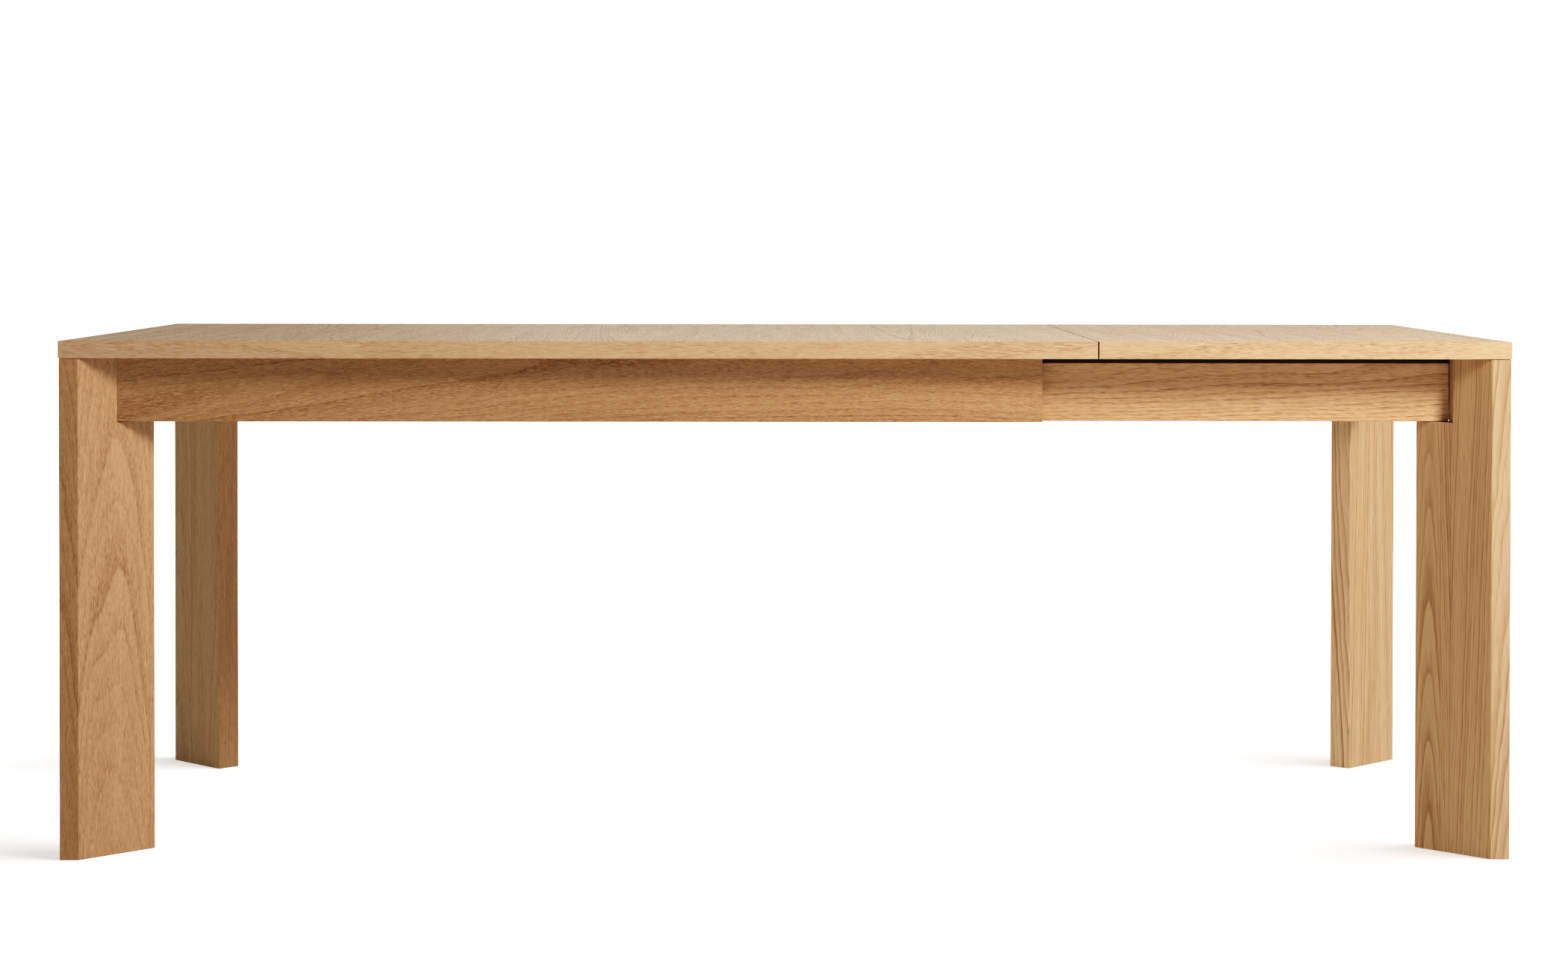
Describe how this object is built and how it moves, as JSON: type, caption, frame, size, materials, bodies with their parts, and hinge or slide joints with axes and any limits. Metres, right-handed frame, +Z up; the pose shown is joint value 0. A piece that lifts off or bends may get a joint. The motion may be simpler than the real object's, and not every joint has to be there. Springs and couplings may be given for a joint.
{
  "type": "extendable dining table",
  "caption": "Rectangular oak dining table with diagonal slab legs; its end frame slides out on ball slides to take a drop-in leaf that latches to the main top.",
  "frame": {"origin": "on the floor, under the centre of the extended tabletop", "axes": "+X along the table's length towards the end that pulls out, +Y from the front long side to the rear one, +Z up"},
  "size_m": [2.1336, 0.9144, 0.762],
  "materials": {
    "oak_top": "satin lacquered white oak veneer with the grain running across the table, long-grain oak edges",
    "oak_apron": "satin lacquered oak, long grain",
    "oak_leg": "satin lacquered oak, upright grain, glued up from staves",
    "frame_wood": "plain sanded hardwood, sealed",
    "black_lacquer": "wood finished in black satin lacquer",
    "zinc_steel": "bright zinc plated steel",
    "latch_steel": "satin nickel plated steel",
    "brass": "plain turned brass",
    "nylon": "black moulded nylon"
  },
  "bodies": {
    "left_frame": {"main_top": "oak_top", "outer_apron_front": "oak_apron", "outer_apron_rear": "oak_apron", "left_end_apron": "oak_apron", "carrier_rail_front": "frame_wood", "carrier_rail_rear": "frame_wood", "cross_rail_left": "frame_wood", "cross_rail_middle": "frame_wood", "cross_rail_right": "frame_wood", "slide_outer_front": "zinc_steel", "slide_outer_rear": "zinc_steel", "latch_screw_front": "zinc_steel", "latch_screw_rear": "zinc_steel", "left_front_leg": "oak_leg", "left_front_corner_block": "frame_wood", "left_front_leg_bolt": "zinc_steel", "left_front_foot_insert": "brass", "left_rear_leg": "oak_leg", "left_rear_corner_block": "frame_wood", "left_rear_leg_bolt": "zinc_steel", "left_rear_foot_insert": "brass"},
    "end_frame": {"inner_apron_front": "oak_apron", "inner_apron_rear": "oak_apron", "right_end_apron": "oak_apron", "tail_rail": "frame_wood", "leaf_cleat_front": "black_lacquer", "leaf_cleat_rear": "black_lacquer", "slide_inner_front": "zinc_steel", "slide_inner_rear": "zinc_steel", "right_front_leg": "oak_leg", "right_front_corner_block": "frame_wood", "right_front_leg_bolt": "zinc_steel", "right_front_foot_insert": "brass", "right_rear_leg": "oak_leg", "right_rear_corner_block": "frame_wood", "right_rear_leg_bolt": "zinc_steel", "right_rear_foot_insert": "brass"},
    "slide_middle_front": {"slide_middle_front": "zinc_steel"},
    "slide_middle_rear": {"slide_middle_rear": "zinc_steel"},
    "leaf": {"leaf_panel": "oak_top", "leaf_stud_front": "zinc_steel", "leaf_stud_rear": "zinc_steel"},
    "latch_front": {"latch_hook_front": "latch_steel"},
    "latch_rear": {"latch_hook_rear": "latch_steel"},
    "left_front_foot": {"left_front_levelling_foot": "nylon"},
    "left_rear_foot": {"left_rear_levelling_foot": "nylon"},
    "right_front_foot": {"right_front_levelling_foot": "nylon"},
    "right_rear_foot": {"right_rear_levelling_foot": "nylon"}
  },
  "joints": [
    {"name": "end_slide", "type": "slide", "parent": "left_frame", "child": "end_frame", "axis": [1, 0, 0], "range_m": [-0.6096, 0]},
    {"name": "slide_middle_front_run", "type": "slide", "parent": "left_frame", "child": "slide_middle_front", "axis": [1, 0, 0], "range_m": [-0.3048, 0]},
    {"name": "slide_middle_rear_run", "type": "slide", "parent": "left_frame", "child": "slide_middle_rear", "axis": [1, 0, 0], "range_m": [-0.3048, 0]},
    {"name": "leaf_lift", "type": "slide", "parent": "left_frame", "child": "leaf", "axis": [0, 0, 1], "range_m": [0, 0.15]},
    {"name": "latch_front_swing", "type": "hinge", "parent": "left_frame", "child": "latch_front", "pos_m": [0.4172, -0.2, 0.7362], "axis": [0, 0, 1], "range_deg": [0, 90]},
    {"name": "latch_rear_swing", "type": "hinge", "parent": "left_frame", "child": "latch_rear", "pos_m": [0.4172, 0.2, 0.7362], "axis": [0, 0, 1], "range_deg": [0, 90]},
    {"name": "left_front_foot_adjust", "type": "slide", "parent": "left_frame", "child": "left_front_foot", "axis": [0, 0, 1], "range_m": [-0.012, 0]},
    {"name": "left_rear_foot_adjust", "type": "slide", "parent": "left_frame", "child": "left_rear_foot", "axis": [0, 0, 1], "range_m": [-0.012, 0]},
    {"name": "right_front_foot_adjust", "type": "slide", "parent": "end_frame", "child": "right_front_foot", "axis": [0, 0, 1], "range_m": [-0.012, 0]},
    {"name": "right_rear_foot_adjust", "type": "slide", "parent": "end_frame", "child": "right_rear_foot", "axis": [0, 0, 1], "range_m": [-0.012, 0]}
  ],
  "couplings": [
    {"joint": "slide_middle_front_run", "follows": "end_slide", "ratio": 0.5},
    {"joint": "slide_middle_rear_run", "follows": "end_slide", "ratio": 0.5}
  ]
}
